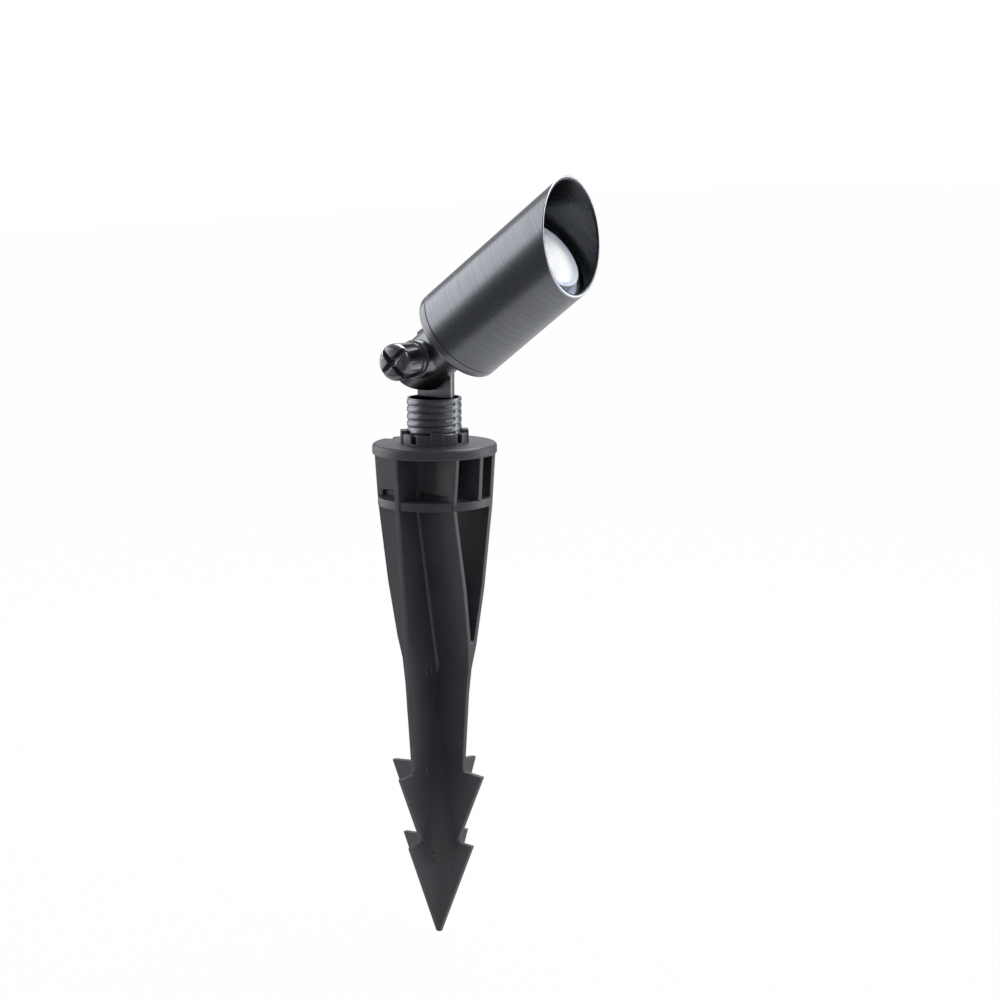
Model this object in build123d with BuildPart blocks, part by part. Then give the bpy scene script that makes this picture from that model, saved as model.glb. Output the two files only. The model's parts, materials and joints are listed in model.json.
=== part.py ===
"""Garden spike spotlight. Millimetres, +Z up, origin on the spike axis at the top of its disc."""

from math import asin, cos, degrees, radians, sin, tan
import os

from build123d import *

os.makedirs("parts", exist_ok=True)

# ---------------------------------------------------------------- driving sizes

# whole lamp
spike_yaw = -4.21          # fins against the head's plane, degrees
head_elevation = 37.06     # aim of the head above level, degrees
hinge_height = 32.86       # tilt axis above the disc
run_gap = 0.05             # radial gap of a running or screwed fit

# spike: disc and castellated collar
disc_r = 23.9
disc_thick = 4.2
disc_edge_r = 1.3
disc_notch_wide = 5.0
disc_notch_deep = 1.8
collar_r = 12.6
collar_high = 3.9
collar_slot_wide = 2.4
lug_proud = 0.5
lug_rise = 1.2
lug_wide = 5.0

# spike: drum, ring and shell
tube_r = 12.7
tube_deep = 17.0
drum_top_r = 23.3
ring_r = 22.0
ring_wide = 2.4
ring_edge_r = 0.8
ring_top = -20.4
ring_bottom = -23.7
shell_reach = 11.9         # plate face from the axis under the disc
shell_thick = 2.1
fork_low = -86.4           # where the two plates meet
vent_high = 2.1            # slot between a drum panel and the ring
vent_end = 15.6
vent_deep = 1.3
fin_thick = 2.2
rib_blend_r = 1.2
fork_round_r = 1.0
disc_under_edge = 0.5

# spike: fins and barbs, radius from the axis
plate_top_w = 20.4
plate_ring_w = 18.8
plate_mid_w = 19.0
plate_mid_z = -55.0
plate_low_w = 17.9
plate_low_z = -77.7
plate_neck_w = 15.4
plate_neck_z = -96.7
rib_top_r = 23.3
rib_ring_r = 22.4
rib_low_r = 17.8
rib_low_z = -77.7
rib_neck_r = 16.9
rib_neck_z = -101.5
barb_root_z = -127.6
plate_root_r = 13.1
rib_root_r = 14.4
barb_tip_r = 22.65
barb_tip_z = -128.45
second_root_r = 10.0
second_root_z = -156.6
second_tip_r = 17.35
second_tip_z = -157.06
point_z = -195.3
point_half = 1.0

# swivel stem
thread_r = 10.475
thread_top = 17.4
stem_low = -15.0
stem_edge = 0.9
neck_r = 7.8
neck_crown_r = 11.8
cable_bore_r = 4.5
cable_bore_top = 10.5
neck_bore_r = 2.2
neck_bore_y = 3.7
lap_pocket_r = 5.4
lap_pocket_deep = 1.9

# rear cap
lap_gap = 0.1
stub_r = 10.3
stub_end_r = 12.6
stub_edge = 0.8
boss_r = 7.4
boss_face = 13.4
boss_edge = 0.9
seam_at = 17.46            # seam between cap and barrel, from the hinge
cap_thick = 4.0
cap_edge_r = 1.5
head_r = 19.05
spigot_end = 25.5
spigot_wall = 2.55
cap_floor = 19.4
head_bore_t = 4.0
ring_groove_at = 19.2
ring_groove_wide = 1.7
ring_groove_deep = 1.45

# barrel and lens
barrel_wall = 1.25
barrel_edge = 0.4
mouth_at = 78.16           # mouth plane on the head axis, from the hinge
mouth_tilt = 31.02
seat_at = 57.4
seat_thick = 1.1
seat_wide = 1.4
gasket_thick = 1.0
lens_thick = 3.0
lens_play = 0.3
lens_edge = 0.4
retainer_thick = 1.7
retainer_wide = 1.1

# lamp and holder
lamp_front = 55.0
lamp_play = 0.4
lamp_rim_wide = 1.5
lamp_rim_thick = 2.4
lamp_back = 34.2
lamp_back_r = 8.6
lamp_fins = 24
lamp_fin_gap = 1.1
lamp_core_r = 8.0
base_back = 27.0
base_wide = 13.0
base_thick = 8.4
pin_r = 0.5
pin_pitch = 4.0
pin_long = 5.0
glare_ring_wide = 4.1
dome_high = 4.1
glare_ring_thick = 0.9
holder_gap = 0.9
holder_front = 26.9
holder_back = 21.2
bracket_thick = 0.8
bracket_play = 1.7
bracket_wide = 9.0
holder_screw_in = 4.6
holder_screw_r = 1.5
contact_wide = 1.8
contact_thick = 0.3
holder_flat = 12.4
cap_screw_deep = 2.6
screw_head_high = 1.2

# thumbscrew, along the tilt axis from the lap faces
shank_r = 2.95
shank_end = 6.0
washer_r = 6.4
washer_thick = 1.0
spring_r = 5.6
spring_thick = 1.15
spring_slit = 1.2
knob_base_r = 6.6
knob_rim_r = 7.05
knob_long = 8.3
knob_dome = 3.0
knob_slot_wide = 1.9
knob_slot_deep = 2.2
knob_flutes = 5
knob_flute_r = 3.4
knob_flute_deep = 1.0
knob_flute_turn = 19

# rubber
knuckle_ring_r = 6.75
knuckle_ring_cord = 0.72
cap_ring_cord = 0.72
stem_seal_long = 6.0
cord_hole_r = 3.0
cap_seal_r = 3.4
cap_seal_long = 3.2
lead_hole_r = 1.6

# sizes that follow from the ones above
barrel_bore_r = head_r - barrel_wall
spigot_r = barrel_bore_r - run_gap
cap_hollow_r = spigot_r - spigot_wall
ring_groove_r = spigot_r - ring_groove_deep
bracket_long = 2 * (cap_hollow_r - bracket_play)
holder_screw_off = cap_hollow_r - holder_screw_in
holder_r = holder_screw_off - holder_screw_r - holder_gap
seat_r = barrel_bore_r - seat_wide
lens_r = barrel_bore_r - lens_play
retainer_r = barrel_bore_r - retainer_wide
lamp_rim_r = barrel_bore_r - lamp_play
glare_ring_r = lamp_rim_r - lamp_rim_wide
dome_r = glare_ring_r - glare_ring_wide
gasket_at = seat_at + seat_thick
lens_at = gasket_at + gasket_thick
retainer_at = lens_at + lens_thick
washer_at = boss_face + run_gap
cap_back = seam_at - cap_thick
spring_at = washer_at + washer_thick
knob_at = spring_at + spring_thick
knuckle_pocket_r = knuckle_ring_r + knuckle_ring_cord
knuckle_pocket_deep = 2 * knuckle_ring_cord
contact_off = pin_pitch / 2 + pin_r + run_gap + contact_thick / 2
fork_slope = (shell_reach - fin_thick / 2) / (ring_bottom - fork_low)
inner_reach = shell_reach - shell_thick
inner_low = ring_bottom - inner_reach / fork_slope
under_disc = -disc_thick + 0.6
dome_ball_r = (dome_r**2 + dome_high**2) / (2 * dome_high)
dome_spread = degrees(asin(dome_r / dome_ball_r))

# ---------------------------------------------------------------- shared planes

yaw_x = Vector(cos(radians(spike_yaw)), sin(radians(spike_yaw)), 0)
yaw_y = Vector(-sin(radians(spike_yaw)), cos(radians(spike_yaw)), 0)
spike_flat = Plane(origin=(0, 0, 0), x_dir=yaw_x, z_dir=(0, 0, 1))
across_plates = Plane(origin=(0, 0, 0), x_dir=yaw_y, z_dir=yaw_x)
along_plates = Plane(origin=(0, 0, 0), x_dir=yaw_x, z_dir=-yaw_y)

aim = Vector(cos(radians(head_elevation)), 0, sin(radians(head_elevation)))
head_up = Vector(-sin(radians(head_elevation)), 0, cos(radians(head_elevation)))
knob_way = Vector(0, -1, 0)
hinge = Vector(0, 0, hinge_height)
head_axis = Axis(hinge, aim)
tilt_axis = Axis(hinge, knob_way)
# x runs along the head, y up across it, z points at the knob
head_side = Plane(origin=hinge, x_dir=aim, z_dir=knob_way)
# x points at the knob, z runs along the head
head_cross = Plane(origin=hinge, x_dir=knob_way, z_dir=aim)
# x runs along the tilt axis towards the knob, y is up
knob_side = Plane(origin=hinge, x_dir=knob_way, z_dir=(1, 0, 0))
# x is level, y is up, z points at the knob
lap_plane = Plane(origin=hinge, x_dir=(1, 0, 0), z_dir=knob_way)



def eased(x, y, r, start, end, steps):
    """Points round a corner of radius r about (x, y), so that the edge turns in short flats."""
    turns = [radians(start + (end - start) * i / steps) for i in range(steps + 1)]
    return [(x + r * cos(a), y + r * sin(a)) for a in turns]


# ---------------------------------------------------------------- ground spike

with BuildPart() as fin_sheet:
    # the pair of fins that splits into the two plates, seen square on
    with BuildSketch(along_plates):
        right_side = [
            (plate_top_w, under_disc),
            (plate_ring_w, ring_bottom),
            (plate_mid_w, plate_mid_z),
            (plate_low_w, plate_low_z),
            (plate_neck_w, plate_neck_z),
            (plate_root_r, barb_root_z),
            (barb_tip_r, barb_tip_z),
            (second_root_r, second_root_z),
            (second_tip_r, second_tip_z),
            (point_half, point_z + point_half),
            (0.3, point_z),
        ]
        with BuildLine():
            Polyline(*right_side, *[(-px, pz) for px, pz in reversed(right_side)], close=True)
        make_face()
    extrude(amount=disc_r, both=True)

with BuildPart() as fork:
    # section of the two plates and of the fins they run into
    with BuildSketch(across_plates):
        outer_side = [
            (shell_reach, under_disc),
            (shell_reach, ring_bottom),
            (fin_thick / 2, fork_low),
            (fin_thick / 2, point_z),
        ]
        with BuildLine():
            Polyline(*outer_side, *[(-py, pz) for py, pz in reversed(outer_side)], close=True)
        make_face()
    extrude(amount=disc_r, both=True)
    add(fin_sheet.part, mode=Mode.INTERSECT)

with BuildPart() as hollow:
    # the open space between the plates, closed in a rounded point at the foot
    with BuildSketch(across_plates):
        with BuildLine():
            Polyline(
                (inner_reach, -disc_thick),
                (inner_reach, ring_bottom),
                (0, inner_low),
                (-inner_reach, ring_bottom),
                (-inner_reach, -disc_thick),
                close=True,
            )
        make_face()
        fillet(vertices().sort_by(Axis.Y)[0], fork_round_r)
    extrude(amount=2 * disc_r, both=True)

with BuildPart() as rib_sheet:
    # the other pair of fins, standing outside the plates and meeting below them
    with BuildSketch(across_plates):
        rib_side = [
            (rib_top_r, under_disc),
            (rib_ring_r, ring_bottom),
            (rib_low_r, rib_low_z),
            (rib_neck_r, rib_neck_z),
            (rib_root_r, barb_root_z),
            (barb_tip_r, barb_tip_z),
            (second_root_r, second_root_z),
            (second_tip_r, second_tip_z),
            (point_half, point_z + point_half),
            (0.3, point_z),
        ]
        with BuildLine():
            Polyline(*rib_side, *[(-py, pz) for py, pz in reversed(rib_side)], close=True)
        make_face()
    extrude(amount=fin_thick / 2, both=True)

with BuildPart() as drum_limit:
    # cone that trims the drum, its posts and its panels
    with BuildSketch(spike_flat.offset(under_disc)):
        Circle(drum_top_r)
    with BuildSketch(spike_flat.offset(ring_bottom)):
        Circle(ring_r)
    loft()

with BuildPart() as posts:
    # posts between the windows, from the tube out to the drum's face
    with BuildSketch(spike_flat.offset(ring_top - 0.5)):
        with Locations((disc_r / 2 + tube_r / 2, 0), (-disc_r / 2 - tube_r / 2, 0)):
            Rectangle(disc_r - tube_r + 2, fin_thick)
    extrude(amount=under_disc - ring_top + 0.5)
    add(drum_limit.part, mode=Mode.INTERSECT)

with BuildPart() as ground_spike:
    add(fork.part)
    add(rib_sheet.part)
    add(hollow.part, mode=Mode.SUBTRACT)
    # soft corners where the ribs leave the plates
    corners = ground_spike.edges().filter_by(
        lambda e: abs(abs((e.center() - Vector(0, 0, 0)).dot(yaw_x)) - fin_thick / 2) < 0.01
        and e.length > 20
        and abs(e.center().dot(yaw_y)) < shell_reach + 0.1
        and e.center().Z > fork_low
    )
    fillet(corners, rib_blend_r)
    # blind slots between the drum panels and the ring
    with BuildSketch(spike_flat.offset(ring_top)):
        with Locations(
            ((vent_end + fin_thick) / 2 + 0.6, shell_reach),
            (-(vent_end + fin_thick) / 2 - 0.6, shell_reach),
            ((vent_end + fin_thick) / 2 + 0.6, -shell_reach),
            (-(vent_end + fin_thick) / 2 - 0.6, -shell_reach),
        ):
            Rectangle(vent_end - fin_thick, 2 * vent_deep)
    extrude(amount=vent_high, mode=Mode.SUBTRACT)
    add(posts.part)
    # ring that ties plates, ribs and posts together
    with BuildSketch(spike_flat.offset(ring_bottom)):
        Circle(ring_r)
        Circle(ring_r - ring_wide, mode=Mode.SUBTRACT)
    extrude(amount=ring_top - ring_bottom)
    with BuildSketch(spike_flat.offset(ring_bottom)):
        Circle(ring_r - ring_wide / 2)
        Rectangle(3 * ring_r, 2 * (inner_reach + 0.4), mode=Mode.SUBTRACT)
    extrude(amount=ring_top - ring_bottom)
    # tube that takes the stem's thread
    with BuildSketch(spike_flat.offset(-tube_deep)):
        Circle(tube_r)
    extrude(amount=tube_deep)
    # rounded disc on top
    with BuildSketch(along_plates):
        with BuildLine():
            Polyline(
                (0, -disc_thick),
                (disc_r - disc_under_edge, -disc_thick),
                (disc_r, -disc_thick + disc_under_edge),
                *eased(disc_r - disc_edge_r, -disc_edge_r, disc_edge_r, 0, 90, 5),
                (0, 0),
                close=True,
            )
        make_face()
    revolve(axis=Axis.Z)
    with BuildSketch(spike_flat.offset(-disc_thick)):
        with Locations((-disc_r, 0)):
            SlotOverall(2 * disc_notch_deep + disc_notch_wide, disc_notch_wide)
    extrude(amount=disc_thick, mode=Mode.SUBTRACT)
    # castellated collar: four slots over the fins, four raised lugs between them
    with BuildSketch(spike_flat):
        Circle(collar_r)
    extrude(amount=collar_high)
    with BuildSketch(spike_flat):
        with PolarLocations((collar_r + lug_proud) / 2, 4, 45):
            Rectangle(collar_r + lug_proud, lug_wide)
        Circle(collar_r + lug_proud, mode=Mode.INTERSECT)
    extrude(amount=collar_high + lug_rise)
    with BuildSketch(spike_flat.offset(0.5)):
        with PolarLocations(collar_r, 4):
            Rectangle(6, collar_slot_wide)
    extrude(amount=collar_high + lug_rise, mode=Mode.SUBTRACT)
    # bore for the thread
    with BuildSketch(spike_flat.offset(-tube_deep - 1)):
        Circle(thread_r + run_gap)
    extrude(amount=tube_deep + collar_high + lug_rise + 2, mode=Mode.SUBTRACT)
ground_spike.part.label = "ground_spike"
export_step(ground_spike.part, "parts/ground_spike.step")

# ---------------------------------------------------------------- swivel stem

with BuildPart() as neck:
    # half-round bar behind the lap face, crowned about the tilt axis
    with BuildSketch(Plane.XY.offset(thread_top - 1)):
        Circle(neck_r)
        with Locations((0, -neck_r)):
            Rectangle(4 * neck_r, 2 * neck_r, mode=Mode.SUBTRACT)
    extrude(amount=hinge_height + neck_crown_r - thread_top + 2)
    with BuildSketch(lap_plane):
        Circle(neck_crown_r)
        with Locations((0, -hinge_height / 2)):
            Rectangle(2 * neck_crown_r, hinge_height)
    extrude(amount=2 * neck_r, both=True, mode=Mode.INTERSECT)

with BuildPart() as swivel_stem:
    # threaded foot, plain at the thread's outside size
    with BuildSketch(Plane.XY.offset(stem_low)):
        Circle(thread_r)
    extrude(amount=thread_top - stem_low)
    chamfer(swivel_stem.edges().filter_by(GeomType.CIRCLE), stem_edge)
    add(neck.part)
    # way for the cord: foot, neck, pocket in the lap face
    with BuildSketch(Plane.XY.offset(stem_low)):
        Circle(cable_bore_r)
    extrude(amount=cable_bore_top - stem_low, mode=Mode.SUBTRACT)
    with BuildSketch(Plane.XY.offset(cable_bore_top - 1)):
        with Locations((0, neck_bore_y)):
            Circle(neck_bore_r)
    extrude(amount=hinge_height - shank_r - 1.2 - cable_bore_top + 1, mode=Mode.SUBTRACT)
    with BuildSketch(lap_plane):
        Circle(lap_pocket_r)
    extrude(amount=-lap_pocket_deep, mode=Mode.SUBTRACT)
    # tapped hole for the thumbscrew
    with BuildSketch(lap_plane):
        Circle(shank_r + run_gap)
    extrude(amount=-shank_end - 0.4, mode=Mode.SUBTRACT)
swivel_stem.part.label = "swivel_stem"
export_step(swivel_stem.part, "parts/swivel_stem.step")

with BuildPart() as stem_cable_seal:
    with BuildSketch(Plane.XY.offset(stem_low)):
        Circle(cable_bore_r)
        Circle(cord_hole_r, mode=Mode.SUBTRACT)
    extrude(amount=stem_seal_long)
stem_cable_seal.part.label = "stem_cable_seal"
export_step(stem_cable_seal.part, "parts/stem_cable_seal.step")

# ---------------------------------------------------------------- rear cap and its seals

with BuildPart() as stub:
    # half-round bar along the head, ended in an arc about the tilt axis
    with BuildSketch(head_cross.offset(-stub_end_r)):
        Circle(stub_r)
        with Locations((lap_gap - stub_r, 0)):
            Rectangle(2 * stub_r, 3 * stub_r, mode=Mode.SUBTRACT)
    extrude(amount=seam_at - cap_thick + stub_end_r + 1)
    with BuildSketch(head_side):
        Circle(stub_end_r)
        with Locations((seam_at / 2, 0)):
            Rectangle(seam_at, 2 * stub_end_r)
    extrude(amount=2 * stub_r, both=True, mode=Mode.INTERSECT)

with BuildPart() as rear_cap:
    # disc with a rounded back edge and the spigot inside the barrel
    with BuildSketch(head_side):
        with BuildLine():
            Polyline(
                (cap_back, 0),
                *eased(cap_back + cap_edge_r, head_r - cap_edge_r, cap_edge_r, 180, 90, 5),
                (seam_at, head_r),
                (seam_at, spigot_r),
                (ring_groove_at, spigot_r),
                (ring_groove_at, ring_groove_r),
                (ring_groove_at + ring_groove_wide, ring_groove_r),
                (ring_groove_at + ring_groove_wide, spigot_r),
                (spigot_end - 0.6, spigot_r),
                (spigot_end, spigot_r - 0.6),
                (spigot_end, cap_hollow_r),
                (cap_floor, cap_hollow_r),
                (cap_floor, 0),
                close=True,
            )
        make_face()
    revolve(axis=head_axis)
    add(stub.part)
    # boss that the washers bear on
    with BuildSketch(knob_side):
        with BuildLine():
            Polyline(
                (lap_gap, 0),
                (lap_gap, boss_r),
                *eased(boss_face - boss_edge, boss_r - boss_edge, boss_edge, 90, 0, 3),
                (boss_face, 0),
                close=True,
            )
        make_face()
    revolve(axis=tilt_axis)
    with BuildSketch(head_side.offset(lap_gap - 1)):
        Circle(knuckle_pocket_r)
    extrude(amount=knuckle_pocket_deep + 1, mode=Mode.SUBTRACT)
    with BuildSketch(head_side):
        Circle(shank_r + run_gap)
    extrude(amount=boss_face + 1, mode=Mode.SUBTRACT)
    # way for the leads from the pocket to the inside of the cap
    with BuildSketch(head_cross.offset(shank_r + 1.2)):
        with Locations((head_bore_t, 0)):
            Circle(neck_bore_r)
    extrude(amount=cap_floor, mode=Mode.SUBTRACT)
    with BuildSketch(head_cross.offset(cap_floor - cap_seal_long)):
        with Locations((head_bore_t, 0)):
            Circle(cap_seal_r)
    extrude(amount=cap_seal_long + 1, mode=Mode.SUBTRACT)
    # tapped holes for the holder's screws
    with BuildSketch(head_cross.offset(cap_floor)):
        with Locations((0, holder_screw_off), (0, -holder_screw_off)):
            Circle(holder_screw_r)
    extrude(amount=-cap_screw_deep, mode=Mode.SUBTRACT)
rear_cap.part.label = "rear_cap"
export_step(rear_cap.part, "parts/rear_cap.step")

with BuildPart() as knuckle_o_ring:
    with BuildSketch(knob_side):
        with Locations((lap_gap + knuckle_ring_cord, knuckle_ring_r)):
            RegularPolygon(knuckle_ring_cord, 8)
    revolve(axis=tilt_axis)
knuckle_o_ring.part.label = "knuckle_o_ring"
export_step(knuckle_o_ring.part, "parts/knuckle_o_ring.step")

with BuildPart() as cap_o_ring:
    with BuildSketch(head_side):
        with Locations((ring_groove_at + ring_groove_wide / 2, ring_groove_r + cap_ring_cord)):
            RegularPolygon(cap_ring_cord, 8)
    revolve(axis=head_axis)
cap_o_ring.part.label = "cap_o_ring"
export_step(cap_o_ring.part, "parts/cap_o_ring.step")

with BuildPart() as cap_cable_seal:
    with BuildSketch(head_cross.offset(cap_floor - cap_seal_long)):
        with Locations((head_bore_t, 0)):
            Circle(cap_seal_r)
            Circle(lead_hole_r, mode=Mode.SUBTRACT)
    extrude(amount=cap_seal_long)
cap_cable_seal.part.label = "cap_cable_seal"
export_step(cap_cable_seal.part, "parts/cap_cable_seal.step")

# ---------------------------------------------------------------- thumbscrew and washers

with BuildPart() as thumbscrew:
    with BuildSketch(knob_side):
        with BuildLine():
            Polyline(
                (-shank_end, 0),
                (-shank_end, shank_r - 0.5),
                (-shank_end + 0.5, shank_r),
                (knob_at, shank_r),
                (knob_at, knob_base_r - 0.4),
                (knob_at + 0.4, knob_base_r),
                (knob_at + knob_long, knob_rim_r),
                *eased(knob_at + knob_long, knob_rim_r - knob_dome, knob_dome, 75, 15, 4),
                (knob_at + knob_long + knob_dome, 0.35 * knob_rim_r),
                (knob_at + knob_long + knob_dome, 0),
                close=True,
            )
        make_face()
    revolve(axis=tilt_axis)
    # scalloped grip
    with BuildSketch(head_side.offset(knob_at - 0.5)):
        with PolarLocations(knob_rim_r + knob_flute_r - knob_flute_deep, knob_flutes, knob_flute_turn):
            Circle(knob_flute_r)
    extrude(amount=knob_long + 0.2, mode=Mode.SUBTRACT)
    # crossed slot in the dome
    with BuildSketch(lap_plane.offset(knob_at + knob_long + knob_dome - knob_slot_deep)):
        Rectangle(2.2 * knob_rim_r, knob_slot_wide, rotation=45)
        Rectangle(2.2 * knob_rim_r, knob_slot_wide, rotation=-45)
    extrude(amount=knob_slot_deep + 1, mode=Mode.SUBTRACT)
thumbscrew.part.label = "thumbscrew"
export_step(thumbscrew.part, "parts/thumbscrew.step")

with BuildPart() as flat_washer:
    with BuildSketch(head_side.offset(washer_at)):
        Circle(washer_r)
        Circle(shank_r, mode=Mode.SUBTRACT)
    extrude(amount=washer_thick)
flat_washer.part.label = "flat_washer"
export_step(flat_washer.part, "parts/flat_washer.step")

with BuildPart() as spring_washer:
    with BuildSketch(head_side.offset(spring_at)):
        Circle(spring_r)
        Circle(shank_r, mode=Mode.SUBTRACT)
        with Locations((-(spring_r + shank_r) / 2, 0)):
            Rectangle(spring_r - shank_r + 1.5, spring_slit, rotation=20, mode=Mode.SUBTRACT)
    extrude(amount=spring_thick)
spring_washer.part.label = "spring_washer"
export_step(spring_washer.part, "parts/spring_washer.step")

# ---------------------------------------------------------------- barrel and lens

mouth_slope = tan(radians(mouth_tilt))
top_reach = mouth_at + head_r * mouth_slope
low_reach = mouth_at - head_r * mouth_slope

with BuildPart() as barrel:
    with BuildSketch(head_side):
        with BuildLine():
            Polyline(
                (seam_at, barrel_bore_r),
                (seam_at, head_r - barrel_edge),
                (seam_at + barrel_edge, head_r),
                (top_reach + 5, head_r),
                (top_reach + 5, barrel_bore_r),
                (seat_at + seat_thick, barrel_bore_r),
                (seat_at + seat_thick, seat_r),
                (seat_at, seat_r),
                (seat_at - 0.5, barrel_bore_r),
                close=True,
            )
        make_face()
    revolve(axis=head_axis)
    # slanted mouth, longest on top
    with BuildSketch(head_side):
        with BuildLine():
            Polyline(
                (low_reach - mouth_slope, -head_r - 1),
                (top_reach + mouth_slope, head_r + 1),
                (top_reach + 20, head_r + 1),
                (top_reach + 20, -head_r - 1),
                close=True,
            )
        make_face()
    extrude(amount=head_r + 1, both=True, mode=Mode.SUBTRACT)
barrel.part.label = "barrel"
export_step(barrel.part, "parts/barrel.step")

with BuildPart() as lens_gasket:
    with BuildSketch(head_cross.offset(gasket_at)):
        Circle(lens_r)
        Circle(seat_r, mode=Mode.SUBTRACT)
    extrude(amount=gasket_thick)
lens_gasket.part.label = "lens_gasket"
export_step(lens_gasket.part, "parts/lens_gasket.step")

with BuildPart() as lens:
    with BuildSketch(head_cross.offset(lens_at)):
        Circle(lens_r)
    extrude(amount=lens_thick)
    chamfer(lens.edges().filter_by(GeomType.CIRCLE), lens_edge)
lens.part.label = "lens"
export_step(lens.part, "parts/lens.step")

with BuildPart() as lens_ring:
    with BuildSketch(head_side):
        with BuildLine():
            Polyline(
                (retainer_at, retainer_r),
                (retainer_at, barrel_bore_r),
                (retainer_at + retainer_thick, barrel_bore_r),
                (retainer_at + retainer_thick, retainer_r + 0.5),
                (retainer_at + retainer_thick - 0.5, retainer_r),
                close=True,
            )
        make_face()
    revolve(axis=head_axis)
lens_ring.part.label = "lens_ring"
export_step(lens_ring.part, "parts/lens_ring.step")

# ---------------------------------------------------------------- lamp

rim_back = lamp_front - lamp_rim_thick

with BuildPart() as lamp_body:
    with BuildSketch(head_side):
        with BuildLine():
            Polyline(
                (lamp_back, 0),
                (lamp_back, lamp_back_r),
                (rim_back, lamp_rim_r - 0.8),
                (rim_back, lamp_rim_r),
                (lamp_front, lamp_rim_r),
                (lamp_front, glare_ring_r),
                (lamp_front - glare_ring_thick, glare_ring_r),
                (lamp_front - glare_ring_thick, 0),
                close=True,
            )
        make_face()
    revolve(axis=head_axis)
    # gaps between the cooling fins
    with BuildSketch(head_cross.offset(lamp_back - 1)):
        with PolarLocations(lamp_core_r + lamp_rim_r / 2, lamp_fins):
            Rectangle(lamp_rim_r, lamp_fin_gap)
    extrude(amount=rim_back - lamp_back + 0.2, mode=Mode.SUBTRACT)
lamp_body.part.label = "lamp_body"
export_step(lamp_body.part, "parts/lamp_body.step")

with BuildPart() as lamp_glare_ring:
    with BuildSketch(head_cross.offset(lamp_front - glare_ring_thick)):
        Circle(glare_ring_r)
        Circle(dome_r, mode=Mode.SUBTRACT)
    extrude(amount=glare_ring_thick)
lamp_glare_ring.part.label = "lamp_glare_ring"
export_step(lamp_glare_ring.part, "parts/lamp_glare_ring.step")

with BuildPart() as lamp_dome:
    with BuildSketch(head_side):
        with BuildLine():
            Polyline(
                (lamp_front - glare_ring_thick, 0),
                (lamp_front - glare_ring_thick, dome_r),
                *eased(lamp_front + dome_high - dome_ball_r, 0, dome_ball_r, dome_spread, 0, 7),
                close=True,
            )
        make_face()
    revolve(axis=head_axis)
lamp_dome.part.label = "lamp_dome"
export_step(lamp_dome.part, "parts/lamp_dome.step")

with BuildPart() as lamp_base:
    with BuildSketch(head_cross.offset(base_back)):
        RectangleRounded(base_thick, base_wide, 1.5)
    extrude(amount=lamp_back - base_back)
lamp_base.part.label = "lamp_base"
export_step(lamp_base.part, "parts/lamp_base.step")

with BuildPart() as lamp_pins:
    with BuildSketch(head_cross.offset(base_back - pin_long)):
        with Locations((0, pin_pitch / 2), (0, -pin_pitch / 2)):
            Circle(pin_r)
    extrude(amount=pin_long)
lamp_pins.part.label = "lamp_pins"
export_step(lamp_pins.part, "parts/lamp_pins.step")

# ---------------------------------------------------------------- lamp holder

bracket_at = holder_back - bracket_thick

with BuildPart() as lamp_holder:
    with BuildSketch(head_cross.offset(holder_back)):
        Circle(holder_r)
        Rectangle(holder_flat, 3 * holder_r, mode=Mode.INTERSECT)
    extrude(amount=holder_front - holder_back)
    with BuildSketch(head_cross.offset(holder_front)):
        with Locations((0, pin_pitch / 2), (0, -pin_pitch / 2)):
            Circle(pin_r + run_gap)
    extrude(amount=-pin_long - 0.2, mode=Mode.SUBTRACT)
    # chambers for the two contacts
    with BuildSketch(head_cross.offset(holder_back)):
        with Locations((0, contact_off + 0.4), (0, -contact_off - 0.4)):
            Rectangle(contact_wide + 0.4, contact_thick + 1.2)
    extrude(amount=holder_front - holder_back - 1.2, mode=Mode.SUBTRACT)
lamp_holder.part.label = "lamp_holder"
export_step(lamp_holder.part, "parts/lamp_holder.step")

with BuildPart() as holder_contacts:
    with BuildSketch(head_cross.offset(holder_back)):
        with Locations((0, contact_off), (0, -contact_off)):
            Rectangle(contact_wide, contact_thick)
    extrude(amount=holder_front - holder_back - 1.2)
holder_contacts.part.label = "holder_contacts"
export_step(holder_contacts.part, "parts/holder_contacts.step")

with BuildPart() as holder_bracket:
    with BuildSketch(head_cross.offset(bracket_at)):
        RectangleRounded(bracket_wide, bracket_long, 2.0)
        with Locations((0, holder_screw_off), (0, -holder_screw_off)):
            Circle(holder_screw_r + 0.2, mode=Mode.SUBTRACT)
    extrude(amount=bracket_thick)
    # two pads that stand the bracket off the cap's floor
    with BuildSketch(head_cross.offset(cap_floor)):
        with Locations((0, holder_screw_off), (0, -holder_screw_off)):
            Circle(holder_screw_r + 1.2)
            Circle(holder_screw_r + 0.2, mode=Mode.SUBTRACT)
    extrude(amount=bracket_at - cap_floor)
holder_bracket.part.label = "holder_bracket"
export_step(holder_bracket.part, "parts/holder_bracket.step")

with BuildPart() as holder_screws:
    with BuildSketch(head_cross.offset(cap_floor - cap_screw_deep)):
        with Locations((0, holder_screw_off), (0, -holder_screw_off)):
            Circle(holder_screw_r)
    extrude(amount=holder_back - cap_floor + cap_screw_deep)
    with BuildSketch(head_cross.offset(holder_back)):
        with Locations((0, holder_screw_off), (0, -holder_screw_off)):
            Circle(holder_screw_r + 0.7)
    extrude(amount=screw_head_high)
holder_screws.part.label = "holder_screws"
export_step(holder_screws.part, "parts/holder_screws.step")
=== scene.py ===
"""Garden spike spotlight: the visible model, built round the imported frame. Metres, +Z up."""

import json
import math

import bpy
from mathutils import Matrix, Vector

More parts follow.
